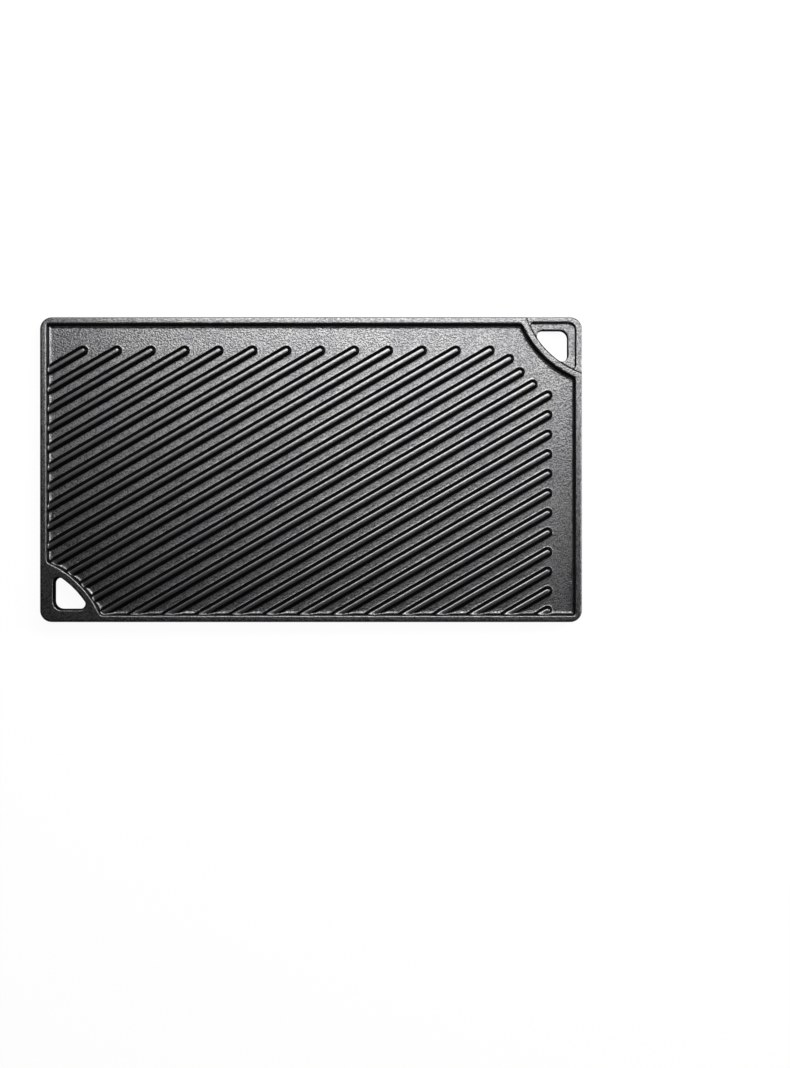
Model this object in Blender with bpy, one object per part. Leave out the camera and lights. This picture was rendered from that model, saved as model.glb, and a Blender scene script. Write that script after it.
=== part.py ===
# Reversible cast iron griddle, lying flat with its ribbed face up and its flat face down.
# Metres, +Z up. The long side runs along X, and the origin is under the centre of the casting.

import math

import bmesh
import bpy

# Overall size of the casting
LENGTH = 0.4254
WIDTH = 0.2395
THICKNESS = 0.0172
CORNER_RADIUS = 0.0092
OUTER_EDGE_RADIUS = 0.0011

# Ribbed face
RIBBED_RIM = 0.0047
RIBBED_DEPTH = 0.0073
RIBBED_DRAFT = math.radians(8)

# Flat face
FLAT_RIM = 0.0039
FLAT_DEPTH = 0.0055
FLAT_DRAFT = math.radians(8)

# Walls of both pans, in section
PAN_EDGE_RADIUS = 0.0006
PAN_FOOT_RADIUS = 0.0026
PAN_CORNER_RADIUS = 0.0026
PAN_JOIN_RADIUS = 0.0045
LEAST_CORNER_RADIUS = 0.0010

# Curved wall across a handle corner: its centre lies past both outer edges
ARC_CENTRE_OUT = 0.0249
ARC_PAN_RADIUS = 0.0777
ARC_HANDLE_RADIUS = 0.0735

# Ribs
RIB_ANGLE = math.radians(30)
RIB_SPACING_ALONG_X = 0.02665
RIB_OFFSET_ALONG_X = 0.0043
RIBS_EACH_WAY = 15
RIB_HEIGHT = 0.0034
RIB_CREST_HALF_WIDTH = 0.0010
RIB_CREST_RADIUS = 0.0008
RIB_FOOT_RADIUS = 0.0005
RIB_DRAFT = math.radians(38)
RIB_ROOT = 0.0001
RIB_TIP_FROM_LONG_EDGE = 0.0258
RIB_TIP_FROM_SHORT_EDGE = 0.0269
RIB_TIP_ARC_RADIUS = 0.1000
SHORTEST_RIB = 0.012

# Handle corners: one side of each is recessed, the other is level with the rim.
# Margins are distances from the short edge and from the long edge.
LIP_DROP = 0.0013
LIP_MARGINS = (0.0047, 0.0041)
LEDGE_DROP = 0.0022
LEDGE_CORNER_RADIUS = 0.0064
LEDGE_TIP_RADIUS = 0.0028
LEDGE_WALL_RUN = 0.0007
HOLE_MARGINS = (0.0113, 0.0105)
HOLE_CORNER_RADIUS = 0.0062
HOLE_TIP_RADIUS = 0.0042
HOLE_EDGE_RADIUS = 0.0010
HOLE_FLARE = 0.0011
HOLE_FLARE_DEPTH = 0.0040
HANDLE_WALL_STEP = 0.0002

# Fineness of the curves
ARC_STEPS = 20
CORNER_STEPS = 6
JOIN_STEPS = 4
TIP_STEPS = 8
EDGE_STEPS = 3
FOOT_STEPS = 3
LIP_CUTTER_SIDES = 96

# Cutters reach this far out of the metal
OVERCUT = 0.0020

IRON_COLOUR = (0.018, 0.018, 0.019, 1.0)
IRON_ROUGHNESS = 0.42
IRON_METALLIC = 0.55
SMOOTH_BELOW = math.radians(32)


def arc(centre, radius, start, end, steps):
    """Points on a circle from the angle start to the angle end, both included."""
    angles = [start + (end - start) * i / steps for i in range(steps + 1)]
    return [(centre[0] + radius * math.cos(a), centre[1] + radius * math.sin(a)) for a in angles]


def wall_section(depth, draft, edge_radius, foot_radius):
    """Section of a drafted wall as (inset, drop) pairs, from the flat above it to the flat at its foot."""
    slope = math.pi / 2 - draft
    radii = edge_radius + foot_radius
    straight = (depth - radii * (1 - math.cos(slope))) / math.sin(slope)
    total_inset = radii * math.sin(slope) + straight * math.cos(slope)
    section = []
    for i in range(EDGE_STEPS + 1):
        turn = slope * i / EDGE_STEPS
        section.append((edge_radius * math.sin(turn), edge_radius * (1 - math.cos(turn))))
    for i in range(FOOT_STEPS + 1):
        turn = slope * (1 - i / FOOT_STEPS)
        inset = total_inset - foot_radius * math.sin(turn)
        drop = depth - foot_radius * (1 - math.cos(turn))
        section.append((inset, drop))
    return section


def outer_outline():
    """The rounded rectangle round the whole casting."""
    x = LENGTH / 2 - CORNER_RADIUS
    y = WIDTH / 2 - CORNER_RADIUS
    points = []
    for quarter, (sign_x, sign_y) in enumerate(((1, 1), (-1, 1), (-1, -1), (1, -1))):
        start = quarter * math.pi / 2
        points += arc((sign_x * x, sign_y * y), CORNER_RADIUS, start, start + math.pi / 2, CORNER_STEPS)
    return points


def pan_outline(rim, inset):
    """A pan's edge, inset from the rim: two plain corners, and two that curved walls cut off."""
    x = LENGTH / 2 - rim - inset
    y = WIDTH / 2 - rim - inset
    centre_x = LENGTH / 2 + ARC_CENTRE_OUT
    centre_y = WIDTH / 2 + ARC_CENTRE_OUT
    radius = ARC_PAN_RADIUS + inset
    join = max(PAN_JOIN_RADIUS - inset, LEAST_CORNER_RADIUS)
    corner = max(PAN_CORNER_RADIUS - inset, LEAST_CORNER_RADIUS)
    short_side_reach = math.sqrt((radius + join) ** 2 - (centre_x - x + join) ** 2)
    long_side_reach = math.sqrt((radius + join) ** 2 - (centre_y - y + join) ** 2)
    short_side_join = (x - join, centre_y - short_side_reach)
    long_side_join = (centre_x - long_side_reach, y - join)
    first = math.atan2(short_side_reach, centre_x - short_side_join[0])
    last = math.atan2(centre_y - long_side_join[1], long_side_reach)
    half = arc(short_side_join, join, 0, first, JOIN_STEPS)
    half += arc((centre_x, centre_y), radius, math.pi + first, math.pi + last, ARC_STEPS)[1:-1]
    half += arc(long_side_join, join, last, math.pi / 2, JOIN_STEPS)
    half += arc((corner - x, y - corner), corner, math.pi / 2, math.pi, CORNER_STEPS)
    return half + [(-px, -py) for px, py in half]


def window_outline(margins, corner, tip, radius):
    """A rounded triangle in a handle corner, whose outer corner is the origin: two sides stand their
    margins inside the edges, and the third follows the curved wall."""
    centre = (ARC_CENTRE_OUT, ARC_CENTRE_OUT)
    across_x = ARC_CENTRE_OUT + margins[0] + tip
    across_y = ARC_CENTRE_OUT + margins[1] + tip
    along_x = math.sqrt((radius - tip) ** 2 - across_y**2)
    along_y = math.sqrt((radius - tip) ** 2 - across_x**2)
    first = math.pi + math.atan2(across_y, along_x)
    last = 1.5 * math.pi - math.atan2(across_x, along_y)
    outline = arc((-margins[0] - corner, -margins[1] - corner), corner, 0, math.pi / 2, CORNER_STEPS)
    outline += arc((ARC_CENTRE_OUT - along_x, -margins[1] - tip), tip, math.pi / 2, first, CORNER_STEPS)
    outline += arc(centre, radius, first, last, CORNER_STEPS)[1:-1]
    outline += arc((-margins[0] - tip, ARC_CENTRE_OUT - along_y), tip, last, 2 * math.pi, CORNER_STEPS)
    return outline


def widened(margins, by):
    """Margins of an outline that stands further inside the edges."""
    return (margins[0] + by, margins[1] + by)


def rib_outline(start, tip, half_width):
    """A rib from above: square where it runs into the rim, and round at its free tip."""
    outline = arc(tip, half_width, RIB_ANGLE - math.pi / 2, RIB_ANGLE + math.pi / 2, TIP_STEPS)
    across = (-half_width * math.sin(RIB_ANGLE), half_width * math.cos(RIB_ANGLE))
    outline.append((start[0] + across[0], start[1] + across[1]))
    outline.append((start[0] - across[0], start[1] - across[1]))
    return outline


def add_loft(mesh, rings):
    """Adds a closed solid that runs through rings, each an outline and its height, from the lowest up."""
    levels = [[mesh.verts.new((x, y, z)) for x, y in outline] for outline, z in rings]
    for lower, upper in zip(levels, levels[1:]):
        for i in range(len(lower)):
            j = (i + 1) % len(lower)
            mesh.faces.new((lower[i], lower[j], upper[j], upper[i]))
    mesh.faces.new(reversed(levels[0]))
    mesh.faces.new(levels[-1])


def new_object(name, mesh, collection):
    """Puts a bmesh into a new object."""
    data = bpy.data.meshes.new(name)
    bmesh.ops.recalc_face_normals(mesh, faces=mesh.faces)
    mesh.to_mesh(data)
    mesh.free()
    made = bpy.data.objects.new(name, data)
    collection.objects.link(made)
    return made


def new_cutter(name, mesh, collection):
    """A helper solid that only shapes the casting."""
    cutter = new_object(name, mesh, collection)
    cutter.hide_render = True
    cutter.display_type = "WIRE"
    return cutter


def cut(target, cutter):
    """Takes the cutter's space out of the target."""
    boolean = target.modifiers.new(cutter.name, "BOOLEAN")
    boolean.operation = "DIFFERENCE"
    boolean.solver = "EXACT"
    boolean.object = cutter


def make_blank(collection):
    """The casting before its pans: a flat outline with rounded edges, made a mesh for the cuts."""
    curve = bpy.data.curves.new("casting_outline", "CURVE")
    curve.dimensions = "2D"
    curve.fill_mode = "BOTH"
    curve.extrude = THICKNESS / 2 - OUTER_EDGE_RADIUS
    curve.bevel_depth = OUTER_EDGE_RADIUS
    curve.bevel_resolution = 1
    curve.offset = -OUTER_EDGE_RADIUS
    points = outer_outline()
    spline = curve.splines.new("POLY")
    spline.points.add(len(points) - 1)
    for point, (x, y) in zip(spline.points, points):
        point.co = (x, y, 0, 1)
    spline.use_cyclic_u = True
    outline = bpy.data.objects.new("casting_outline", curve)
    outline.location.z = THICKNESS / 2
    collection.objects.link(outline)
    bpy.context.view_layer.update()
    evaluated = outline.evaluated_get(bpy.context.evaluated_depsgraph_get())
    data = bpy.data.meshes.new_from_object(evaluated)
    data.name = "griddle_casting"
    mesh = bmesh.new()
    mesh.from_mesh(data)
    bmesh.ops.remove_doubles(mesh, verts=mesh.verts, dist=0.00001)
    bmesh.ops.recalc_face_normals(mesh, faces=mesh.faces)
    mesh.to_mesh(data)
    mesh.free()
    blank = bpy.data.objects.new("griddle_casting", data)
    blank.matrix_world = outline.matrix_world
    collection.objects.link(blank)
    bpy.data.objects.remove(outline)
    return blank


def rib_lines():
    """Start and free tip of every rib. The tips stop short of the long edge, the curved wall and the short
    edge, and leave a drip channel there."""
    direction = (math.cos(RIB_ANGLE), math.sin(RIB_ANGLE))
    tip_x = LENGTH / 2 - RIB_TIP_FROM_SHORT_EDGE
    tip_y = WIDTH / 2 - RIB_TIP_FROM_LONG_EDGE
    centre = (LENGTH / 2 + ARC_CENTRE_OUT, WIDTH / 2 + ARC_CENTRE_OUT)
    lines = []
    for n in range(-RIBS_EACH_WAY, RIBS_EACH_WAY + 1):
        crossing = RIB_OFFSET_ALONG_X + n * RIB_SPACING_ALONG_X
        to_long_edge = tip_y / direction[1]
        to_short_edge = (tip_x - crossing) / direction[0]
        reach = min(to_long_edge, to_short_edge)
        along = (centre[0] - crossing) * direction[0] + centre[1] * direction[1]
        aside = (centre[0] - crossing) * direction[1] - centre[1] * direction[0]
        if abs(aside) < RIB_TIP_ARC_RADIUS:
            reach = min(reach, along - math.sqrt(RIB_TIP_ARC_RADIUS**2 - aside**2))
        back_to_short_edge = (-LENGTH / 2 - crossing) / direction[0]
        back_to_long_edge = -WIDTH / 2 / direction[1]
        back = max(back_to_short_edge, back_to_long_edge)
        if reach - back < SHORTEST_RIB:
            continue
        start = (crossing + back * direction[0], back * direction[1])
        tip = (crossing + reach * direction[0], reach * direction[1])
        lines.append((start, tip))
    return lines


def make_ribs(collection):
    """All ribs as separate solids in one mesh, their roots a little under the floor of the pan."""
    floor = THICKNESS - RIBBED_DEPTH
    crest = floor + RIB_HEIGHT
    section = wall_section(RIB_HEIGHT + RIB_ROOT, RIB_DRAFT, RIB_CREST_RADIUS, RIB_FOOT_RADIUS)
    section.append((section[-1][0], RIB_HEIGHT + OVERCUT))
    mesh = bmesh.new()
    for start, tip in rib_lines():
        rings = []
        for spread, drop in reversed(section):
            outline = rib_outline(start, tip, RIB_CREST_HALF_WIDTH + spread)
            rings.append((outline, crest - drop))
        add_loft(mesh, rings)
    return new_cutter("rib_pattern", mesh, collection)


def make_ribbed_core(collection):
    """The space inside the ribbed face's pan, with the ribs taken out of it."""
    section = wall_section(RIBBED_DEPTH, RIBBED_DRAFT, PAN_EDGE_RADIUS, PAN_FOOT_RADIUS)
    rings = [(pan_outline(RIBBED_RIM, inset), THICKNESS - drop) for inset, drop in reversed(section)]
    rings.append((rings[-1][0], THICKNESS + OVERCUT))
    mesh = bmesh.new()
    add_loft(mesh, rings)
    core = new_cutter("ribbed_core", mesh, collection)
    cut(core, make_ribs(collection))
    return core


def make_flat_core(collection):
    """The space inside the flat face's pan, which opens downwards."""
    section = wall_section(FLAT_DEPTH, FLAT_DRAFT, PAN_EDGE_RADIUS, PAN_FOOT_RADIUS)
    rings = [(pan_outline(FLAT_RIM, inset), drop) for inset, drop in section]
    rings.insert(0, (rings[0][0], -OVERCUT))
    mesh = bmesh.new()
    add_loft(mesh, rings)
    return new_cutter("flat_core", mesh, collection)


def make_lip_cutter(collection):
    """Lowers a handle corner a little below the curved wall on its recessed side."""
    height = LIP_DROP + OVERCUT
    mesh = bmesh.new()
    bmesh.ops.create_cone(
        mesh,
        cap_ends=True,
        segments=LIP_CUTTER_SIDES,
        radius1=ARC_HANDLE_RADIUS,
        radius2=ARC_HANDLE_RADIUS,
        depth=height,
    )
    middle = THICKNESS - LIP_DROP + height / 2
    bmesh.ops.translate(mesh, verts=mesh.verts, vec=(ARC_CENTRE_OUT, ARC_CENTRE_OUT, middle))
    return new_cutter("lip_cutter", mesh, collection)


def make_ledge_cutter(collection, margins):
    """Sinks the ledge round the hole, inside the lip."""
    ledge = THICKNESS - LIP_DROP - LEDGE_DROP
    radius = ARC_HANDLE_RADIUS - HANDLE_WALL_STEP
    foot = window_outline(
        widened(margins, LEDGE_WALL_RUN),
        LEDGE_CORNER_RADIUS - LEDGE_WALL_RUN,
        LEDGE_TIP_RADIUS - LEDGE_WALL_RUN,
        radius - HANDLE_WALL_STEP,
    )
    top = window_outline(margins, LEDGE_CORNER_RADIUS, LEDGE_TIP_RADIUS, radius)
    mesh = bmesh.new()
    add_loft(mesh, [(foot, ledge), (top, ledge + LEDGE_DROP), (top, THICKNESS + OVERCUT)])
    return new_cutter("ledge_cutter", mesh, collection)


def make_hole_cutter(collection, margins):
    """The finger and hanging hole. It flares along its straight sides towards the level side, and it is
    round where it meets the ledge."""
    ledge = THICKNESS - LIP_DROP - LEDGE_DROP
    radius = ARC_HANDLE_RADIUS - 3 * HANDLE_WALL_STEP
    hole = window_outline(margins, HOLE_CORNER_RADIUS, HOLE_TIP_RADIUS, radius)
    flare = window_outline(
        widened(margins, -HOLE_FLARE),
        HOLE_CORNER_RADIUS + HOLE_FLARE,
        HOLE_TIP_RADIUS,
        radius,
    )
    rings = [(flare, -OVERCUT), (flare, 0), (hole, HOLE_FLARE_DEPTH)]
    for i in range(EDGE_STEPS + 1):
        turn = math.pi / 2 * i / EDGE_STEPS
        by = HOLE_EDGE_RADIUS * (1 - math.cos(turn))
        outline = window_outline(
            widened(margins, -by),
            HOLE_CORNER_RADIUS + by,
            HOLE_TIP_RADIUS + by,
            radius,
        )
        rings.append((outline, ledge - HOLE_EDGE_RADIUS * (1 - math.sin(turn))))
    rings.append((rings[-1][0], THICKNESS + OVERCUT))
    mesh = bmesh.new()
    add_loft(mesh, rings)
    return new_cutter("hole_cutter", mesh, collection)


def cut_handle_corner(casting, collection, turned_over):
    """Cuts one handle corner. The first is recessed on the ribbed face. The second is turned over about the
    other diagonal, which swaps its two margins, so that it is recessed on the flat face."""
    order = slice(None, None, -1 if turned_over else 1)
    cutters = (
        make_lip_cutter(collection),
        make_ledge_cutter(collection, LIP_MARGINS[order]),
        make_hole_cutter(collection, HOLE_MARGINS[order]),
    )
    for cutter in cutters:
        if turned_over:
            cutter.location = (-LENGTH / 2, -WIDTH / 2, THICKNESS)
            cutter.rotation_euler = (math.pi, 0, -math.pi / 2)
        else:
            cutter.location = (LENGTH / 2, WIDTH / 2, 0)
        cut(casting, cutter)


def iron_material():
    """Black seasoned cast iron."""
    material = bpy.data.materials.new("seasoned_cast_iron")
    material.use_nodes = True
    shader = material.node_tree.nodes["Principled BSDF"]
    shader.inputs["Base Color"].default_value = IRON_COLOUR
    shader.inputs["Roughness"].default_value = IRON_ROUGHNESS
    shader.inputs["Metallic"].default_value = IRON_METALLIC
    return material


def keep_result(casting):
    """Replaces the casting's mesh by the result of its cuts, shaded smooth over its round edges."""
    bpy.context.view_layer.update()
    evaluated = casting.evaluated_get(bpy.context.evaluated_depsgraph_get())
    result = bpy.data.meshes.new_from_object(evaluated)
    casting.modifiers.clear()
    casting.data = result
    result.name = casting.name
    result.materials.clear()
    result.materials.append(iron_material())
    result.shade_smooth()
    result.set_sharp_from_angle(angle=SMOOTH_BELOW)


def main():
    for old in list(bpy.data.objects):
        bpy.data.objects.remove(old)
    scene = bpy.context.scene.collection
    parts = bpy.data.collections.new("reversible_griddle")
    cutters = bpy.data.collections.new("casting_cutters")
    cutters.hide_render = True
    scene.children.link(parts)
    scene.children.link(cutters)
    casting = make_blank(parts)
    cut(casting, make_ribbed_core(cutters))
    cut(casting, make_flat_core(cutters))
    for turned_over in (False, True):
        cut_handle_corner(casting, cutters, turned_over)
    keep_result(casting)


main()
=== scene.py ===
# Looks of the reversible cast iron griddle, in metres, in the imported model's frame: +Z up, ribbed face up.

import math

import bmesh
import bpy
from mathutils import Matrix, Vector


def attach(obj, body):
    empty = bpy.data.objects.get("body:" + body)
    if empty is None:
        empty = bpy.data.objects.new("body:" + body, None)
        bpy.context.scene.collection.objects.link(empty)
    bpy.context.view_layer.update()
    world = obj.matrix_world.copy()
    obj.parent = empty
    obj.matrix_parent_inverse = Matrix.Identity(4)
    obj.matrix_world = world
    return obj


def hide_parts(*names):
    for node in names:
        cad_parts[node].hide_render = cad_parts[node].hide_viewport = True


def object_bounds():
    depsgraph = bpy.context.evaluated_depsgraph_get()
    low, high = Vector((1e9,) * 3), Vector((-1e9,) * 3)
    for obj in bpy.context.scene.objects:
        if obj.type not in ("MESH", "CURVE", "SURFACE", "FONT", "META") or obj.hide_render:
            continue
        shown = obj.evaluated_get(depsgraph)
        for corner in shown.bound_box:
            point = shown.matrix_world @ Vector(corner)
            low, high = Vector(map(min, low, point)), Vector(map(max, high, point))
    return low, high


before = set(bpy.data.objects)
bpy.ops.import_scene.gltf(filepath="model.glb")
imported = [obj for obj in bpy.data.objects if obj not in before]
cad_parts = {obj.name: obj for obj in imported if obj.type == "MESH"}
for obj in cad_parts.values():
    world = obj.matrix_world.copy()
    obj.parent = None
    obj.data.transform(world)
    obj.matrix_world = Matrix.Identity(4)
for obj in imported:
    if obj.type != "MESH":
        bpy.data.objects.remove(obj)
cad_low, cad_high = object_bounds()

# Overall size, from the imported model
LENGTH = cad_high.x - cad_low.x
WIDTH = cad_high.y - cad_low.y
THICKNESS = cad_high.z - cad_low.z

# Outer sides
CORNER_RADIUS = 0.0092
OUTER_EDGE_RADIUS = 0.0009
SIDE_DRAFT = math.radians(1.5)

# Pans: rim, depth and draft of each face, and the rounding of both
RIBBED_PAN = {"rim": 0.0047, "depth": 0.0073, "draft": math.radians(8)}
FLAT_PAN = {"rim": 0.0039, "depth": 0.0055, "draft": math.radians(8)}
PAN_EDGE_RADIUS = 0.0006
PAN_FOOT_RADIUS = 0.0026
PAN_CORNER_RADIUS = 0.0026
PAN_JOIN_RADIUS = 0.0045
LEAST_CORNER_RADIUS = 0.0008

# Curved wall across a handle corner: its centre lies past both outer edges
ARC_CENTRE_OUT = 0.0249
ARC_PAN_RADIUS = 0.0777
ARC_HANDLE_RADIUS = 0.0735

# Ribs
RIB_ANGLE = math.radians(30)
RIB_SPACING_ALONG_X = 0.02665
RIB_OFFSET_ALONG_X = 0.0043
RIBS_EACH_WAY = 15
RIB_HEIGHT = 0.0034
RIB_TOP = THICKNESS - RIBBED_PAN["depth"] + RIB_HEIGHT
RIB_CREST_HALF_WIDTH = 0.0010
RIB_CREST_RADIUS = 0.0008
RIB_FOOT_RADIUS = 0.0005
RIB_DRAFT = math.radians(38)
RIB_ROOT = 0.0003
RIB_TIP_FROM_LONG_EDGE = 0.0258
RIB_TIP_FROM_SHORT_EDGE = 0.0269
RIB_TIP_ARC_RADIUS = 0.1000
SHORTEST_RIB = 0.012

# Handle corners. Margins are distances from the short edge and from the long edge.
LIP_DROP = 0.0013
LIP_MARGINS = (0.0047, 0.0041)
LEDGE_DROP = 0.0022
LEDGE_CORNER_RADIUS = 0.0064
LEDGE_TIP_RADIUS = 0.0028
LEDGE_WALL_RUN = 0.0007
HOLE_MARGINS = (0.0113, 0.0105)
HOLE_CORNER_RADIUS = 0.0062
HOLE_TIP_RADIUS = 0.0042
HOLE_EDGE_RADIUS = 0.0010
HOLE_FLARE = 0.0011
HOLE_FLARE_DEPTH = 0.0040
HANDLE_WALL_STEP = 0.0002

# Fineness of the drawn curves, how far a cutter reaches out of the metal, and when two points are one
ARC_STEPS = 48
CORNER_STEPS = 10
OUTER_EDGE_STEPS = 3
ROUNDING_STEPS = 6
LIP_CUTTER_SIDES = 240
OVERCUT = 0.0020
TOUCHING = 0.000002

# Casting skin: the solid is remeshed, its edges melt a little, and it is thinned to a light mesh
SKIN_VOXEL = 0.0005
SKIN_MELT = 0.5
SKIN_MELT_STEPS = 5
SKIN_TRIANGLES = 190000

# Relief of the cast surface. Each noise gives the size of its lumps, its detail and its roughness.
PEBBLE_NOISE = (0.0012, 1.5, 0.5)
PEBBLE_CONTRAST = (0.32, 0.68)
PEBBLE_HEIGHT = 0.00008
SAND_NOISE = (0.0006, 2, 0.6)
SAND_HEIGHT = 0.00004
WAVE_NOISE = (0.012, 1, 0.5)
WAVE_HEIGHT = 0.00006

# Where the relief is worn: in a band of heights round the rib tops, and near the planes of both rims
CREST_BAND = (-0.0025, -0.0011, 0.00005, 0.00035)
WORN_CREST = 0.75
RIM_PEBBLE = 0.6
RIM_BAND = 0.0016

# Slopes between which painted shade gives way to metal, the steep one first, on rib flanks and on pan walls
FLANK_SLOPES = (math.radians(34), math.radians(18))
WALL_SLOPES = (math.radians(50), math.radians(36))

# How far pan walls reach from the outer edges, and from the centres of the curved walls
WALL_REACH = 0.0090
ARC_WALL_REACH = 0.0820
REACH_FADE = 0.0010

# How far in the outer sides count as such, and how much of the metal's lustre they have
OUTER_SIDE = 0.0015
OUTER_LUSTRE = 0.3

# Colour and gloss: bare iron, iron with oil baked on in patches, dark pits between the pebbles, and painted
# shade for steep surfaces: black, with a low IOR so that it barely reflects
OIL_NOISE = (0.030, 3, 0.6)
OIL_CONTRAST = (0.35, 0.65)
IRON_COLOUR = (0.165, 0.165, 0.170, 1)
OILED_COLOUR = (0.185, 0.184, 0.182, 1)
PIT_COLOUR = (0.050, 0.050, 0.052, 1)
PIT_CONTRAST = (0.45, 1.45)
PIT_SHARE = 0.8
PAINTED_SHADE_COLOUR = (0.002, 0.002, 0.002, 1)
IRON_ROUGHNESS = 0.32
OILED_ROUGHNESS = 0.31
PAINTED_SHADE_IOR = 1.15

# Floor
FLOOR_SIZE = 12.0
FLOOR_COLOUR = (0.06, 0.06, 0.06, 1)
FLOOR_GLOW = 0.955
FLOOR_SHADE_EDGE = 0.012

# Softboxes: where each one stands, what it looks at, its size, and its power in watts
KEY_PLACE = (0.07, 0.30, 0.60)
KEY_AIM = (0.05, 0.05, 0.0)
KEY_SIZE = (0.56, 0.34)
KEY_POWER = 5.25
SIDE_PLACE = (0.75, 0.10, 0.45)
SIDE_AIM = (0.05, 0.0, 0.0)
SIDE_SIZE = (0.40, 0.50)
SIDE_POWER = 6.5
LOW_PLACE = (-0.75, 1.25, 0.22)
LOW_AIM = (0.0, 0.0, 0.01)
LOW_SIZE = (1.0, 0.35)
LOW_POWER = 4.0

# Room, from 0 at the horizon to 1 overhead: a white backdrop low down, a dim wall and a dimmer ceiling
BACKDROP_EDGE = (0.15, 0.35)
ROOM_WALL_TOP = 0.2
ROOM_WALL_LIGHT = 0.024
ROOM_CEILING_LIGHT = 0.004
WHITE = (1, 1, 1, 1)
SEEN_WHITE = 1.0

# Photograph: its size, and where the ribbed griddle lies in it, in its own pixels
PHOTO_SIZE = (790, 1068)
PHOTO_GRIDDLE_CENTRE = (310.95, 469.65)
PHOTO_GRIDDLE_LENGTH = 542.7

# Camera: its height above the ribbed face's rim, and the size of its sensor along the photograph's height
CAMERA_HEIGHT = 2.0
SENSOR = 0.036
MILLIMETRES_IN_METRE = 1000


def select_only(piece):
    """Makes a piece the one that operators act on."""
    bpy.ops.object.select_all(action="DESELECT")
    piece.select_set(True)
    bpy.context.view_layer.objects.active = piece


def edit(piece):
    select_only(piece)
    bpy.ops.object.mode_set(mode="EDIT")


def leave_edit():
    bpy.ops.object.mode_set(mode="OBJECT")


def select_edges(piece, wanted):
    """In edit mode, selects the edges that wanted() says yes to."""
    bpy.ops.mesh.select_mode(type="EDGE")
    bpy.ops.mesh.select_all(action="DESELECT")
    mesh = bmesh.from_edit_mesh(piece.data)
    for edge in mesh.edges:
        edge.select_set(wanted(edge))
    bmesh.update_edit_mesh(piece.data)


def select_face_towards(piece, direction):
    """In edit mode, selects the one face whose centre lies furthest in a direction."""
    bpy.ops.mesh.select_mode(type="FACE")
    bpy.ops.mesh.select_all(action="DESELECT")
    mesh = bmesh.from_edit_mesh(piece.data)
    furthest = max(mesh.faces, key=lambda face: face.calc_center_median().dot(direction))
    furthest.select_set(True)
    bmesh.update_edit_mesh(piece.data)


def round_edges(radius, steps):
    """In edit mode, rounds the selected edges."""
    bpy.ops.mesh.bevel(offset=radius, offset_type="OFFSET", segments=steps, affect="EDGES")


def add_box(name, low, high):
    """A cube primitive between two corners."""
    middle = [(a + b) / 2 for a, b in zip(low, high)]
    size = [b - a for a, b in zip(low, high)]
    bpy.ops.mesh.primitive_cube_add(size=1, location=middle, scale=size)
    box = bpy.context.object
    box.name = name
    bpy.ops.object.transform_apply(location=True, rotation=True, scale=True)
    return box


def combine(piece, other, operation):
    """Applies a Boolean with another solid, and deletes that solid."""
    select_only(piece)
    boolean = piece.modifiers.new("cut", "BOOLEAN")
    boolean.operation = operation
    boolean.solver = "EXACT"
    boolean.object = other
    bpy.ops.object.modifier_apply(modifier=boolean.name)
    bpy.data.objects.remove(other)


def draw_ring(piece, arcs, height):
    """In edit mode, draws one closed outline. An arc is a centre, a radius, a start angle, a turn and a
    number of steps: a point is spun round the centre, and a straight side leads to the next arc."""
    mesh = bmesh.from_edit_mesh(piece.data)
    first = len(mesh.verts)
    last = None
    for centre, radius, start, turn, steps in arcs:
        begin = Vector((centre[0] + radius * math.cos(start), centre[1] + radius * math.sin(start), height))
        if last is None:
            bpy.ops.mesh.primitive_plane_add(size=radius, location=begin)
            bpy.ops.mesh.merge(type="CENTER")
        elif (begin - last).length > TOUCHING:
            bpy.ops.mesh.extrude_vertices_move(TRANSFORM_OT_translate={"value": begin - last})
        bpy.ops.mesh.spin(steps=steps, angle=-turn, center=(*centre, height), axis=(0, 0, 1))
        end = start + turn
        last = Vector((centre[0] + radius * math.cos(end), centre[1] + radius * math.sin(end), height))
    mesh = bmesh.from_edit_mesh(piece.data)
    mesh.verts.ensure_lookup_table()
    mesh.verts[first].select_set(True)
    bmesh.update_edit_mesh(piece.data)
    bpy.ops.mesh.edge_face_add()


def drawn_solid(name, rings):
    """A closed solid through rings of arcs, each at its height. It is drawn in the mesh of a plane whose
    own corners are deleted."""
    bpy.ops.mesh.primitive_plane_add(size=OVERCUT)
    piece = bpy.context.object
    piece.name = name
    bpy.ops.object.mode_set(mode="EDIT")
    bpy.ops.mesh.select_mode(type="VERT")
    bpy.ops.mesh.delete(type="VERT")
    for arcs, height in rings:
        draw_ring(piece, arcs, height)
    heights = [height for arcs, height in rings]
    for below, above in zip(heights, heights[1:]):
        select_edges(piece, lambda edge: lies_level(edge, below) or lies_level(edge, above))
        bpy.ops.mesh.bridge_edge_loops()
    for end in (heights[0], heights[-1]):
        select_edges(piece, lambda edge: lies_level(edge, end))
        bpy.ops.mesh.edge_face_add()
    bpy.ops.mesh.select_all(action="SELECT")
    bpy.ops.mesh.normals_make_consistent(inside=False)
    leave_edit()
    return piece


def lies_level(edge, height):
    return all(abs(vertex.co.z - height) < TOUCHING for vertex in edge.verts)


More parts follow.
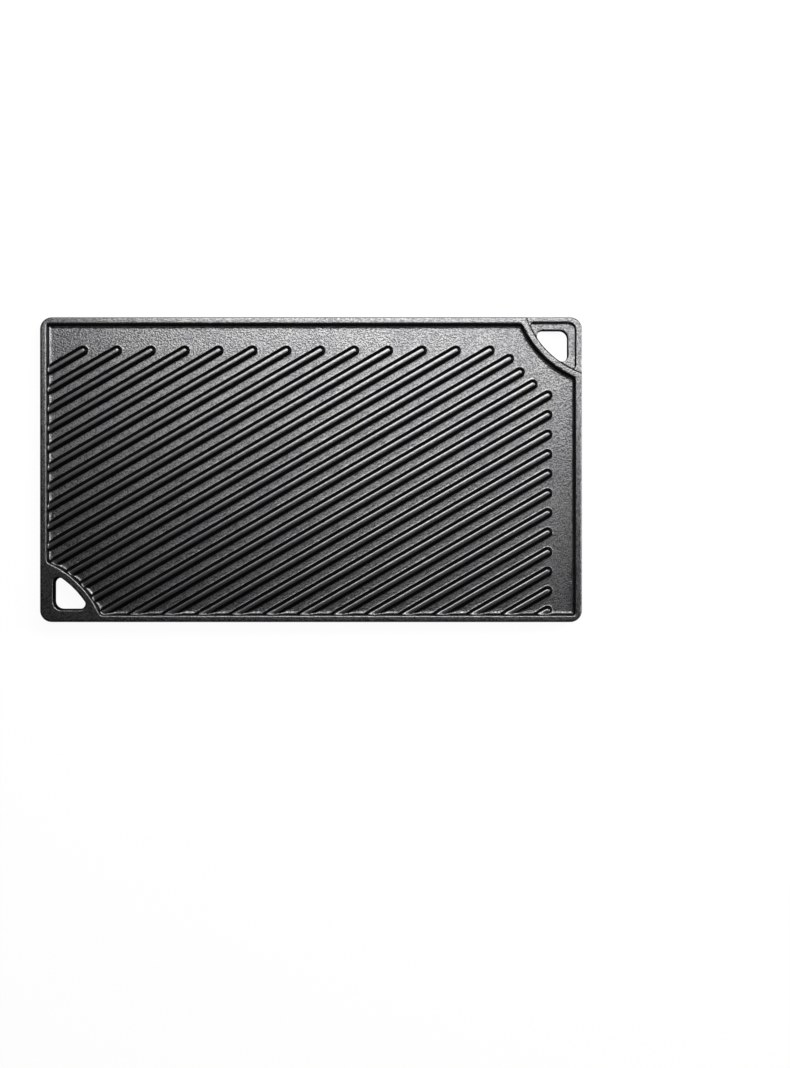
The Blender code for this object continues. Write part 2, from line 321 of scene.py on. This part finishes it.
def wall_section(depth, draft):
    """Section of a pan's drafted wall, from round edge to round foot, as pairs of inset and drop."""
    slope = math.pi / 2 - draft
    radii = PAN_EDGE_RADIUS + PAN_FOOT_RADIUS
    straight = (depth - radii * (1 - math.cos(slope))) / math.sin(slope)
    total = radii * math.sin(slope) + straight * math.cos(slope)
    section = []
    for step in range(ROUNDING_STEPS + 1):
        turn = slope * step / ROUNDING_STEPS
        section.append((PAN_EDGE_RADIUS * math.sin(turn), PAN_EDGE_RADIUS * (1 - math.cos(turn))))
    for step in range(ROUNDING_STEPS + 1):
        turn = slope * (1 - step / ROUNDING_STEPS)
        inset = total - PAN_FOOT_RADIUS * math.sin(turn)
        section.append((inset, depth - PAN_FOOT_RADIUS * (1 - math.cos(turn))))
    return section


def pan_arcs(rim, inset):
    """A pan's edge, inset from the rim: two plain corners, and two that curved walls cut off."""
    x = LENGTH / 2 - rim - inset
    y = WIDTH / 2 - rim - inset
    centre_x = LENGTH / 2 + ARC_CENTRE_OUT
    centre_y = WIDTH / 2 + ARC_CENTRE_OUT
    radius = ARC_PAN_RADIUS + inset
    join = max(PAN_JOIN_RADIUS - inset, LEAST_CORNER_RADIUS)
    corner = max(PAN_CORNER_RADIUS - inset, LEAST_CORNER_RADIUS)
    short_side_reach = math.sqrt((radius + join) ** 2 - (centre_x - x + join) ** 2)
    long_side_reach = math.sqrt((radius + join) ** 2 - (centre_y - y + join) ** 2)
    first = math.atan2(short_side_reach, centre_x - x + join)
    last = math.atan2(centre_y - y + join, long_side_reach)
    half = [
        ((x - join, centre_y - short_side_reach), join, 0, first, CORNER_STEPS),
        ((centre_x, centre_y), radius, math.pi + first, last - first, ARC_STEPS),
        ((centre_x - long_side_reach, y - join), join, last, math.pi / 2 - last, CORNER_STEPS),
        ((corner - x, y - corner), corner, math.pi / 2, math.pi / 2, CORNER_STEPS),
    ]
    other = [((-a, -b), size, start + math.pi, turn, steps) for (a, b), size, start, turn, steps in half]
    return half + other


def window_arcs(margins, corner, tip, radius):
    """A rounded triangle in a handle corner, whose outer corner is the origin: two sides stand their
    margins inside the edges, and the third follows the curved wall."""
    across_x = ARC_CENTRE_OUT + margins[0] + tip
    across_y = ARC_CENTRE_OUT + margins[1] + tip
    along_x = math.sqrt((radius - tip) ** 2 - across_y**2)
    along_y = math.sqrt((radius - tip) ** 2 - across_x**2)
    first = math.pi + math.atan2(across_y, along_x)
    last = 1.5 * math.pi - math.atan2(across_x, along_y)
    quarter = math.pi / 2
    return [
        ((-margins[0] - corner, -margins[1] - corner), corner, 0, quarter, CORNER_STEPS),
        ((ARC_CENTRE_OUT - along_x, -margins[1] - tip), tip, quarter, first - quarter, CORNER_STEPS),
        ((ARC_CENTRE_OUT, ARC_CENTRE_OUT), radius, first, last - first, ARC_STEPS),
        ((-margins[0] - tip, ARC_CENTRE_OUT - along_y), tip, last, 2 * math.pi - last, CORNER_STEPS),
    ]


def model_blank():
    """The casting before its pans: a slab whose sides draft both ways from the parting line."""
    slab = add_box("griddle", (-LENGTH / 2, -WIDTH / 2, 0), (LENGTH / 2, WIDTH / 2, THICKNESS))
    edit(slab)
    select_edges(slab, lambda edge: abs(edge.verts[0].co.z - edge.verts[1].co.z) > THICKNESS / 2)
    round_edges(CORNER_RADIUS, 2 * CORNER_STEPS)
    bpy.ops.mesh.select_all(action="SELECT")
    bpy.ops.mesh.bisect(plane_co=(0, 0, THICKNESS / 2), plane_no=(0, 0, 1))
    run = THICKNESS / 2 * math.tan(SIDE_DRAFT)
    for direction in (Vector((0, 0, 1)), Vector((0, 0, -1))):
        select_face_towards(slab, direction)
        bpy.ops.transform.resize(value=(1 - 2 * run / LENGTH, 1 - 2 * run / WIDTH, 1))
    select_edges(slab, lambda edge: lies_level(edge, 0) or lies_level(edge, THICKNESS))
    round_edges(OUTER_EDGE_RADIUS, OUTER_EDGE_STEPS)
    leave_edit()
    return slab


def model_pan_core(name, pan, surface, outwards):
    """The space inside a pan, down from its face's surface; outwards is 1 on the upper face, or -1."""
    rings = [(pan_arcs(pan["rim"], 0), surface + outwards * OVERCUT)]
    for inset, drop in wall_section(pan["depth"], pan["draft"]):
        rings.append((pan_arcs(pan["rim"], inset), surface - outwards * drop))
    return drawn_solid(name, rings)


def rib_tips():
    """Where each rib ends: short of the long edge, the curved wall or the short edge, which leaves a drip
    channel."""
    along_x = math.cos(RIB_ANGLE)
    along_y = math.sin(RIB_ANGLE)
    tip_x = LENGTH / 2 - RIB_TIP_FROM_SHORT_EDGE
    tip_y = WIDTH / 2 - RIB_TIP_FROM_LONG_EDGE
    centre_x = LENGTH / 2 + ARC_CENTRE_OUT
    centre_y = WIDTH / 2 + ARC_CENTRE_OUT
    tips = []
    for n in range(-RIBS_EACH_WAY, RIBS_EACH_WAY + 1):
        crossing = RIB_OFFSET_ALONG_X + n * RIB_SPACING_ALONG_X
        reach = min(tip_y / along_y, (tip_x - crossing) / along_x)
        along = (centre_x - crossing) * along_x + centre_y * along_y
        aside = (centre_x - crossing) * along_y - centre_y * along_x
        if abs(aside) < RIB_TIP_ARC_RADIUS:
            reach = min(reach, along - math.sqrt(RIB_TIP_ARC_RADIUS**2 - aside**2))
        back = max((-LENGTH / 2 - crossing) / along_x, -WIDTH / 2 / along_y)
        if reach - back > SHORTEST_RIB:
            tips.append((crossing + reach * along_x, reach * along_y))
    return tips


def model_rib(length):
    """One rib along -X, its round tip at the origin: a bar whose top is inset and raised up its section."""
    floor = THICKNESS - RIBBED_PAN["depth"]
    slope = math.pi / 2 - RIB_DRAFT
    rounds = (RIB_FOOT_RADIUS + RIB_CREST_RADIUS) * (1 - math.cos(slope))
    flank = (RIB_HEIGHT - rounds) / math.sin(slope)
    foot_run = RIB_FOOT_RADIUS * math.sin(slope)
    crest_run = RIB_CREST_RADIUS * math.sin(slope)
    half_width = RIB_CREST_HALF_WIDTH + crest_run + flank * math.cos(slope) + foot_run
    rib = add_box("rib", (-length, -half_width, floor - RIB_ROOT), (half_width, half_width, floor))
    edit(rib)
    select_edges(rib, lambda edge: all(vertex.co.x > 0 for vertex in edge.verts) and is_upright(edge))
    round_edges(half_width, CORNER_STEPS)
    bpy.ops.mesh.select_all(action="SELECT")
    bpy.ops.mesh.remove_doubles(threshold=TOUCHING)
    select_face_towards(rib, Vector((0, 0, 1)))
    raise_round(RIB_FOOT_RADIUS, 0, slope)
    bpy.ops.mesh.inset(thickness=flank * math.cos(slope), depth=flank * math.sin(slope))
    raise_round(RIB_CREST_RADIUS, slope, 0)
    leave_edit()
    return rib


def is_upright(edge):
    step = edge.verts[0].co - edge.verts[1].co
    return abs(step.z) > abs(step.x) + abs(step.y)


def raise_round(radius, start, end):
    """In edit mode, insets and raises the selected face along an arc between two slopes."""
    for step in range(ROUNDING_STEPS):
        here = start + (end - start) * step / ROUNDING_STEPS
        there = start + (end - start) * (step + 1) / ROUNDING_STEPS
        run = radius * abs(math.sin(there) - math.sin(here))
        rise = radius * abs(math.cos(there) - math.cos(here))
        bpy.ops.mesh.inset(thickness=run, depth=rise)


def model_ribs():
    """All ribs: one is modelled, and copied to every line of the pattern."""
    length = LENGTH + WIDTH
    first = model_rib(length)
    ribs = []
    for number, (x, y) in enumerate(rib_tips()):
        rib = first.copy()
        rib.data = first.data.copy()
        rib.name = f"rib_{number}"
        bpy.context.scene.collection.objects.link(rib)
        rib.location = (x, y, 0)
        rib.rotation_euler.z = RIB_ANGLE
        ribs.append(rib)
    bpy.data.objects.remove(first)
    select_only(ribs[0])
    for rib in ribs:
        rib.select_set(True)
    bpy.ops.object.transform_apply(location=True, rotation=True, scale=True)
    bpy.ops.object.join()
    joined = bpy.context.object
    joined.name = "ribs"
    return joined


def model_handle_cutters(order):
    """The cutters of a handle corner whose outer corner is the origin: lip, ledge and hole, each with its
    curved wall a little inside the last one's. An order of -1 swaps the margins at the short and the long
    edge, as turning the cutters over needs."""
    lip_floor = THICKNESS - LIP_DROP
    top = THICKNESS + OVERCUT
    bpy.ops.mesh.primitive_cylinder_add(
        vertices=LIP_CUTTER_SIDES,
        radius=ARC_HANDLE_RADIUS,
        depth=top - lip_floor,
        location=(ARC_CENTRE_OUT, ARC_CENTRE_OUT, (top + lip_floor) / 2),
    )
    lip = bpy.context.object
    ledge_radius = ARC_HANDLE_RADIUS - HANDLE_WALL_STEP
    margins = LIP_MARGINS[::order]
    foot_margins = [margin + LEDGE_WALL_RUN for margin in margins]
    foot_corner = LEDGE_CORNER_RADIUS - LEDGE_WALL_RUN
    foot_tip = LEDGE_TIP_RADIUS - LEDGE_WALL_RUN
    foot = window_arcs(foot_margins, foot_corner, foot_tip, ledge_radius - HANDLE_WALL_STEP)
    wall_top = window_arcs(margins, LEDGE_CORNER_RADIUS, LEDGE_TIP_RADIUS, ledge_radius)
    ledge = drawn_solid("ledge", [(foot, lip_floor - LEDGE_DROP), (wall_top, lip_floor), (wall_top, top)])
    hole = drawn_solid("hole", hole_rings(HOLE_MARGINS[::order], lip_floor - LEDGE_DROP))
    return [lip, ledge, hole]


def hole_rings(margins, ledge_height):
    """The hole: its straight sides flare towards the level face, and its edge at the ledge is round."""
    radius = ARC_HANDLE_RADIUS - 3 * HANDLE_WALL_STEP

    def widened(by, tip):
        sides = [margin - by for margin in margins]
        return window_arcs(sides, HOLE_CORNER_RADIUS + by, tip, radius)

    flare = widened(HOLE_FLARE, HOLE_TIP_RADIUS)
    rings = [(flare, -OVERCUT), (flare, 0), (widened(0, HOLE_TIP_RADIUS), HOLE_FLARE_DEPTH)]
    for step in range(ROUNDING_STEPS + 1):
        turn = math.pi / 2 * step / ROUNDING_STEPS
        by = HOLE_EDGE_RADIUS * (1 - math.cos(turn))
        height = ledge_height - HOLE_EDGE_RADIUS * (1 - math.sin(turn))
        rings.append((widened(by, HOLE_TIP_RADIUS + by), height))
    rings.append((rings[-1][0], THICKNESS + OVERCUT))
    return rings


def cut_handle_corners(casting):
    """Recesses the corner at +X +Y on the upper face, and the one at -X -Y, turned over, on the lower."""
    for order in (1, -1):
        for cutter in model_handle_cutters(order):
            if order > 0:
                cutter.location += Vector((LENGTH / 2, WIDTH / 2, 0))
            else:
                turn_over(cutter)
            combine(casting, cutter, "DIFFERENCE")


def turn_over(cutter):
    """Turns a cutter upside down about the line that swaps X and Y, and moves it to the opposite corner."""
    select_only(cutter)
    bpy.ops.object.transform_apply(location=True, rotation=True, scale=True)
    cutter.rotation_euler = (math.pi, 0, -math.pi / 2)
    cutter.location = (-LENGTH / 2, -WIDTH / 2, THICKNESS)


def cast_skin(casting):
    """Gives the sharp solid the soft edges of a sand casting."""
    select_only(casting)
    remesh = casting.modifiers.new("skin", "REMESH")
    remesh.mode = "VOXEL"
    remesh.voxel_size = SKIN_VOXEL
    bpy.ops.object.modifier_apply(modifier=remesh.name)
    melt = casting.modifiers.new("melt", "SMOOTH")
    melt.factor = SKIN_MELT
    melt.iterations = SKIN_MELT_STEPS
    bpy.ops.object.modifier_apply(modifier=melt.name)
    thin = casting.modifiers.new("thin", "DECIMATE")
    thin.ratio = SKIN_TRIANGLES / (2 * len(casting.data.polygons))
    bpy.ops.object.modifier_apply(modifier=thin.name)
    bpy.ops.object.shade_smooth()
    even = casting.modifiers.new("even", "WEIGHTED_NORMAL")
    even.keep_sharp = True
    bpy.ops.object.modifier_apply(modifier=even.name)


def model_griddle():
    """The whole casting."""
    casting = model_blank()
    ribbed_core = model_pan_core("ribbed_core", RIBBED_PAN, THICKNESS, 1)
    combine(ribbed_core, model_ribs(), "DIFFERENCE")
    combine(casting, ribbed_core, "DIFFERENCE")
    combine(casting, model_pan_core("flat_core", FLAT_PAN, 0, -1), "DIFFERENCE")
    cut_handle_corners(casting)
    cast_skin(casting)
    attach(casting, "root")
    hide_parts("griddle_casting")
    return casting


def add_node(tree, kind, values=None, **settings):
    """Adds a node, sets its options, and gives its sockets their values or links them."""
    node = tree.nodes.new(kind)
    for setting, value in settings.items():
        setattr(node, setting, value)
    for socket, value in (values or {}).items():
        if isinstance(value, bpy.types.NodeSocket):
            tree.links.new(value, node.inputs[socket])
        else:
            node.inputs[socket].default_value = value
    return node


def new_tree(owner):
    """Empties the node tree of a material or world."""
    owner.use_nodes = True
    owner.node_tree.nodes.clear()
    return owner.node_tree


def noise(tree, place, size, detail, roughness):
    """Noise whose lumps are about size metres across."""
    values = {"Vector": place, "Scale": 1 / size, "Detail": detail, "Roughness": roughness}
    return add_node(tree, "ShaderNodeTexNoise", values).outputs["Fac"]


def spread(tree, value, low, high, to_low, to_high):
    """Maps a range of a value, such as a noise's contrast, onto another, smoothly."""
    values = {"Value": value, "From Min": low, "From Max": high, "To Min": to_low, "To Max": to_high}
    return add_node(tree, "ShaderNodeMapRange", values, interpolation_type="SMOOTHSTEP").outputs["Result"]


def maths(tree, operation, first, second=0):
    """One operation on two values. ABSOLUTE takes the first alone."""
    return add_node(tree, "ShaderNodeMath", {0: first, 1: second}, operation=operation).outputs[0]


def levelness(tree, upright, slopes):
    """Nothing where a surface is steeper than a pair of slopes, and full where it is gentler."""
    steep, gentle = slopes
    return spread(tree, upright, math.cos(steep), math.cos(gentle), 0, 1)


def white_to(tree, mirrored_where):
    """Full for what the camera sees, and for what gloss and glass show where a mask allows it."""
    path = add_node(tree, "ShaderNodeLightPath")
    mirrored = maths(tree, "MAXIMUM", path.outputs["Is Glossy Ray"], path.outputs["Is Transmission Ray"])
    mirrored = maths(tree, "MULTIPLY", mirrored, mirrored_where)
    return maths(tree, "MAXIMUM", path.outputs["Is Camera Ray"], mirrored)


def mixed_colour(tree, factor, first, second):
    colours = {"Factor": factor, "A": first, "B": second}
    return add_node(tree, "ShaderNodeMix", colours, data_type="RGBA").outputs["Result"]


def seasoned_cast_iron():
    """Sand-cast iron under a baked oil skin. Level surfaces have a dark metal lustre, with pebbles and pits
    that are fainter on the rims and mostly worn away on the rib crests. The outer sides are pebbled too,
    with little lustre and mostly painted shade. Steep rib flanks and pan walls are smooth and painted black
    as shade that barely reflects."""
    material = bpy.data.materials.new("seasoned_cast_iron")
    tree = new_tree(material)
    coordinates = add_node(tree, "ShaderNodeTexCoord")
    place = coordinates.outputs["Object"]
    place_axes = add_node(tree, "ShaderNodeSeparateXYZ", {"Vector": place})
    facing = add_node(tree, "ShaderNodeSeparateXYZ", {"Vector": coordinates.outputs["Normal"]})

    height = place_axes.outputs["Z"]
    low, lowest_crest, highest_crest, high = (RIB_TOP + step for step in CREST_BAND)
    on_crests = spread(tree, height, low, lowest_crest, 0, WORN_CREST)
    on_crests = maths(tree, "MULTIPLY", on_crests, spread(tree, height, highest_crest, high, 1, 0))
    grain = maths(tree, "SUBTRACT", 1, on_crests)
    from_faces = maths(tree, "MINIMUM", height, maths(tree, "SUBTRACT", THICKNESS, height))
    rim_grain = spread(tree, from_faces, RIM_BAND / 2, RIM_BAND, RIM_PEBBLE, 1)

    upright = maths(tree, "ABSOLUTE", facing.outputs["Z"])
    at_walls = None
    for turn in (1, -1):
        centre = (turn * (LENGTH / 2 + ARC_CENTRE_OUT), turn * (WIDTH / 2 + ARC_CENTRE_OUT), THICKNESS / 2)
        away = add_node(tree, "ShaderNodeVectorMath", {0: place, 1: centre}, operation="DISTANCE")
        near = spread(tree, away.outputs["Value"], ARC_WALL_REACH - REACH_FADE, ARC_WALL_REACH, 1, 0)
        at_walls = maths(tree, "MAXIMUM", near, at_walls) if at_walls else near
    sides = []
    for axis, half in (("X", LENGTH / 2), ("Y", WIDTH / 2)):
        distance = maths(tree, "ABSOLUTE", place_axes.outputs[axis])
        sides.append(spread(tree, distance, half - 2 * OUTER_SIDE, half - OUTER_SIDE, 0, 1))
        near = spread(tree, distance, half - WALL_REACH - REACH_FADE, half - WALL_REACH, 0, 1)
        at_walls = maths(tree, "MAXIMUM", near, at_walls)
    outside = maths(tree, "MAXIMUM", *sides)
    wall_level = maths(tree, "MULTIPLY", levelness(tree, upright, WALL_SLOPES), at_walls)
    level = maths(tree, "MAXIMUM", levelness(tree, upright, FLANK_SLOPES), wall_level)
    # Painted shade: where rib flanks and pan walls are steep the metal gives way to a black that barely
    # reflects, and the outer sides keep only a little metal
    lustre = maths(tree, "MAXIMUM", level, maths(tree, "MULTIPLY", outside, OUTER_LUSTRE))
    pebbled = maths(tree, "MULTIPLY", grain, rim_grain)
    pebbled = maths(tree, "MULTIPLY", pebbled, maths(tree, "MAXIMUM", level, outside))

    pebbles = spread(tree, noise(tree, place, *PEBBLE_NOISE), *PEBBLE_CONTRAST, 0, 1)
    sand = noise(tree, place, *SAND_NOISE)
    waves = noise(tree, place, *WAVE_NOISE)
    relief = maths(tree, "MULTIPLY", pebbles, PEBBLE_HEIGHT)
    relief = maths(tree, "ADD", relief, maths(tree, "MULTIPLY", sand, SAND_HEIGHT))
    relief = maths(tree, "MULTIPLY", relief, pebbled)
    relief = maths(tree, "ADD", relief, maths(tree, "MULTIPLY", waves, WAVE_HEIGHT))
    # The relief is in metres, so the bump has a plain distance and strength
    bump = add_node(tree, "ShaderNodeBump", {"Height": relief, "Distance": 1.0, "Strength": 1.0})

    patches = noise(tree, place, *OIL_NOISE)
    oil = spread(tree, patches, *OIL_CONTRAST, 0, 1)
    pits = spread(tree, maths(tree, "ADD", pebbles, sand), *PIT_CONTRAST, PIT_SHARE, 0)
    pits = maths(tree, "MULTIPLY", pits, grain)
    metal = mixed_colour(tree, pits, mixed_colour(tree, oil, IRON_COLOUR, OILED_COLOUR), PIT_COLOUR)
    # Base colour, metallic and IOR: metal where the surface is level, painted shade where it is steep
    shader = add_node(
        tree,
        "ShaderNodeBsdfPrincipled",
        {
            "Base Color": mixed_colour(tree, lustre, PAINTED_SHADE_COLOUR, metal),
            "Metallic": lustre,
            "Roughness": spread(tree, patches, *OIL_CONTRAST, IRON_ROUGHNESS, OILED_ROUGHNESS),
            "IOR": PAINTED_SHADE_IOR,
            "Normal": bump.outputs["Normal"],
        },
    )
    add_node(tree, "ShaderNodeOutputMaterial", {"Surface": shader.outputs["BSDF"]})
    return material


def pale_floor():
    """A floor that is seen white and keeps the griddle's shadow. Gloss shows it white too, but under the
    griddle its glow is taken away, a painted shadow."""
    material = bpy.data.materials.new("pale_floor")
    tree = new_tree(material)
    place = add_node(tree, "ShaderNodeTexCoord").outputs["Object"]
    place = add_node(tree, "ShaderNodeSeparateXYZ", {"Vector": place})
    # Painted shadow: gloss and glass see no glow where the griddle covers the floor, with a soft edge
    floor_outside_painted_shadow = None
    for axis, half in (("X", LENGTH / 2), ("Y", WIDTH / 2)):
        distance = maths(tree, "ABSOLUTE", place.outputs[axis])
        outside = spread(tree, distance, half - FLOOR_SHADE_EDGE, half, 0, 1)
        floor_outside_painted_shadow = maths(tree, "MAXIMUM", outside, floor_outside_painted_shadow) if floor_outside_painted_shadow else outside
    glow_strength = maths(tree, "MULTIPLY", white_to(tree, floor_outside_painted_shadow), FLOOR_GLOW)
    paint = add_node(tree, "ShaderNodeBsdfDiffuse", {"Color": FLOOR_COLOUR})
    glow = add_node(tree, "ShaderNodeEmission", {"Strength": glow_strength})
    both = add_node(tree, "ShaderNodeAddShader", {0: paint.outputs["BSDF"], 1: glow.outputs["Emission"]})
    add_node(tree, "ShaderNodeOutputMaterial", {"Surface": both.outputs["Shader"]})
    return material


def lay_floor():
    bpy.ops.mesh.primitive_plane_add(size=FLOOR_SIZE, location=(0, 0, 0))
    floor = bpy.context.object
    floor.name = "floor"
    floor.data.materials.append(pale_floor())


def add_softbox(name, place, aim, size, power):
    """A rectangular softbox that looks at a point."""
    lamp = bpy.data.lights.new(name, "AREA")
    lamp.shape = "RECTANGLE"
    lamp.size, lamp.size_y = size
    lamp.energy = power
    softbox = bpy.data.objects.new(name, lamp)
    bpy.context.scene.collection.objects.link(softbox)
    softbox.location = place
    softbox.rotation_euler = (Vector(place) - Vector(aim)).to_track_quat("Z", "Y").to_euler()
    softbox.visible_camera = False


def light_studio():
    """Three softboxes in a dim room. The camera sees the room white, and gloss does so low down."""
    add_softbox("key_softbox", KEY_PLACE, KEY_AIM, KEY_SIZE, KEY_POWER)
    add_softbox("side_softbox", SIDE_PLACE, SIDE_AIM, SIDE_SIZE, SIDE_POWER)
    add_softbox("low_reflector", LOW_PLACE, LOW_AIM, LOW_SIZE, LOW_POWER)
    world = bpy.data.worlds.new("studio")
    bpy.context.scene.world = world
    tree = new_tree(world)
    direction = add_node(tree, "ShaderNodeTexCoord").outputs["Generated"]
    up = add_node(tree, "ShaderNodeSeparateXYZ", {"Vector": direction}).outputs["Z"]
    room = spread(tree, up, ROOM_WALL_TOP, 1, ROOM_WALL_LIGHT, ROOM_CEILING_LIGHT)
    seen = white_to(tree, spread(tree, up, *BACKDROP_EDGE, 1, 0))
    light = {"Factor": seen, "A": room, "B": SEEN_WHITE}
    light = add_node(tree, "ShaderNodeMix", light, data_type="FLOAT").outputs["Result"]
    sky = add_node(tree, "ShaderNodeBackground", {"Color": WHITE, "Strength": light})
    add_node(tree, "ShaderNodeOutputWorld", {"Surface": sky.outputs["Background"]})


def set_camera():
    """Looks straight down, and shows the griddle where the photograph does."""
    pixel = LENGTH / PHOTO_GRIDDLE_LENGTH
    width, height = PHOTO_SIZE
    aside = (width / 2 - PHOTO_GRIDDLE_CENTRE[0]) * pixel
    down = (height / 2 - PHOTO_GRIDDLE_CENTRE[1]) * pixel
    lens = bpy.data.cameras.new("camera")
    lens.sensor_width = MILLIMETRES_IN_METRE * SENSOR
    lens.lens = MILLIMETRES_IN_METRE * SENSOR * CAMERA_HEIGHT / (height * pixel)
    lens.clip_end = 3 * CAMERA_HEIGHT
    camera = bpy.data.objects.new("camera", lens)
    bpy.context.scene.collection.objects.link(camera)
    camera.location = (aside, -down, THICKNESS + CAMERA_HEIGHT)
    bpy.context.scene.camera = camera


griddle = model_griddle()
griddle.data.materials.clear()
griddle.data.materials.append(seasoned_cast_iron())
lay_floor()
light_studio()
set_camera()
bpy.context.scene.view_settings.view_transform = "Standard"
